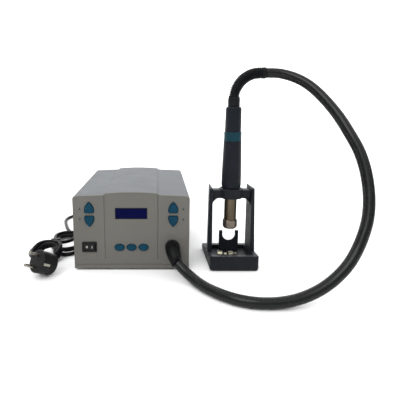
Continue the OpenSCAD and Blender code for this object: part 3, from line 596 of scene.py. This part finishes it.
def wound(loop, run, r0, r1, z0, z1, lift=0.0, skip=0.0, end=180):
    """One turn of a loop from its far end: down one run, round the near end, up the other and round."""
    flat = [(r0, s) for s in np.arange(run - skip, -run, -6.0)]
    flat += [(r0 * math.cos(a), -run - r0 * math.sin(a)) for a in np.radians(np.arange(0, 181, 12))]
    flat += [(-r0, s) for s in np.arange(-run + 5, run, 6.0)]
    for a in np.radians(np.arange(0, end + 1, 12)):
        r = r0 + (r1 - r0) * a / math.pi
        flat.append((-r * math.cos(a), run + r * math.sin(a)))
    out = []
    for i, (x, y) in enumerate(flat):
        z = z0 + (z1 - z0) * i / len(flat) + lift * 0.5 * (1 + math.tanh((y - 2) / 9))
        out.append(in_loop(loop, x, y, z))
    return out


def hank_line():
    """The far loop's turns, the crossing over to the near loop, and its turns."""
    line = wound(FAR_LOOP, 28, 22.6, 18.5, 3.3, 5, skip=20)
    line += wound(FAR_LOOP, 20, 18.5, 21, 6, 11)
    line += wound(FAR_LOOP, 24, 21, 20, 11, 15)
    line += CROSSING
    line += wound(NEAR_LOOP, 5, 23, 18.5, 4, 6, 12)
    line += wound(NEAR_LOOP, 3, 18.5, 21, 7, 10, 12)
    line += wound(NEAR_LOOP, 4, 21, 22, 11, 14, 10)
    return line


def spaced(points, least=2.5):
    out = [points[0]]
    for q in points[1:]:
        if math.dist(q, out[-1]) > least:
            out.append(q)
    return out


def settle(points, first, last, step=4.0, rounds=260):
    """Lets a wound lead come to rest: its strands push each other apart, sink, and stay on the table."""
    p = evened(spline(points, 2.0, first, last), step, 2)
    goal = p.copy()
    n = len(p)
    wide = 2 * LEAD_R + 0.1
    i, j = np.triu_indices(n, 5)
    for _ in range(rounds):
        push = np.zeros_like(p)
        d = p[j] - p[i]
        far = np.linalg.norm(d, axis=1)
        hit = far < wide
        a, b, dd = i[hit], j[hit], d[hit]
        dd[:, 2] += 0.6
        dd /= np.linalg.norm(dd, axis=1)[:, None]
        move = dd * ((wide - far[hit]) * 0.35)[:, None]
        np.add.at(push, a, -move)
        np.add.at(push, b, move)
        count = np.zeros(n)
        np.add.at(count, a, 1)
        np.add.at(count, b, 1)
        p[6:-3] += (push / np.maximum(1, count * 0.6)[:, None])[6:-3]
        bend = 0.5 * (p[:-2] + p[2:]) - p[1:-1]
        p[2:-2] += 0.45 * (bend[1:-1] - 0.5 * (bend[:-2] + bend[2:])) + 0.06 * bend[1:-1]
        p[6:-6] += 0.05 * (goal - p)[6:-6]
        p[6:-6, 2] -= 0.04
        p[:, 2] = np.maximum(p[:, 2], LEAD_R + 0.05)
        p[:2], p[-2:] = goal[:2], goal[-2:]
    return p


def make_lead():
    route = spaced(LEAD_ROUTE + hank_line() + TAIL_ROUTE)
    first, last = [0, 1, 0], list(PLUG_HEADING)
    path = evened(spline(settle(route, first, last), 1.0, first, last), 2.0, 3)
    lead = sweep("mains_cord", path, [LEAD_R] * len(path), 20, LEAD, first, last)
    outward(lead)
    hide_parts("mains_lead", "mains_hank", "plug_lead")
    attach(lead, "station")
    return lead


make_lead()

# ---------------------------------------------------------------- floor and light


ROOM_HALF, FLOOR_Z = 30, -0.0002
WALL_Y, WALL_FOOT, WALL_TOP = 6, -0.01, 14
WALL_GLOW, SKY_GLOW = 0.75, 0.38


def make_floor():
    """Pale floor with a pale wall far behind it."""
    floor_mat = material("floor", (0.93, 0.93, 0.93), 0.8, tint=0.006, tint_scale=1.5, specular=0.1)
    wall_mat = material("wall", (0.9, 0.9, 0.9), 0.9, tint=0.004, tint_scale=0.5, specular=0.0)
    glow = wall_mat.node_tree.nodes[wall_mat["bsdf"]]
    glow.inputs["Emission Color"].default_value = (1, 1, 1, 1)
    glow.inputs["Emission Strength"].default_value = WALL_GLOW
    w, z, back, foot, top = ROOM_HALF, FLOOR_Z, WALL_Y, WALL_FOOT, WALL_TOP
    floor = new_mesh("floor", [(-w, -w, z), (w, -w, z), (w, w, z), (-w, w, z)], [(0, 1, 2, 3)],
                     floor_mat, smooth=False)
    wall = new_mesh("wall", [(-w, back, foot), (w, back, foot), (w, back, top), (-w, back, top)],
                    [(0, 1, 2, 3)], wall_mat, smooth=False)


def sun(name, toward, strength, wide):
    """Soft light from far away, coming from the direction given."""
    data = bpy.data.lights.new(name, "SUN")
    data.energy = strength
    data.angle = math.radians(wide)
    o = bpy.data.objects.new(name, data)
    bpy.context.scene.collection.objects.link(o)
    o.rotation_mode = "QUATERNION"
    o.rotation_quaternion = (-Vector(toward)).to_track_quat("-Z", "Y")


def make_light():
    world = bpy.data.worlds.new("studio")
    bpy.context.scene.world = world
    world.use_nodes = True
    back = world.node_tree.nodes.get("Background") or world.node_tree.nodes.new("ShaderNodeBackground")
    back.inputs["Color"].default_value = (1.0, 1.0, 1.0, 1)
    back.inputs["Strength"].default_value = SKY_GLOW
    sun("overhead", (0.1, -0.1, 1.0), 2.2, 110)
    sun("key", (-0.5, -0.8, 1.0), 1.5, 40)
    bpy.context.scene.view_settings.view_transform = "Standard"


make_floor()
make_light()
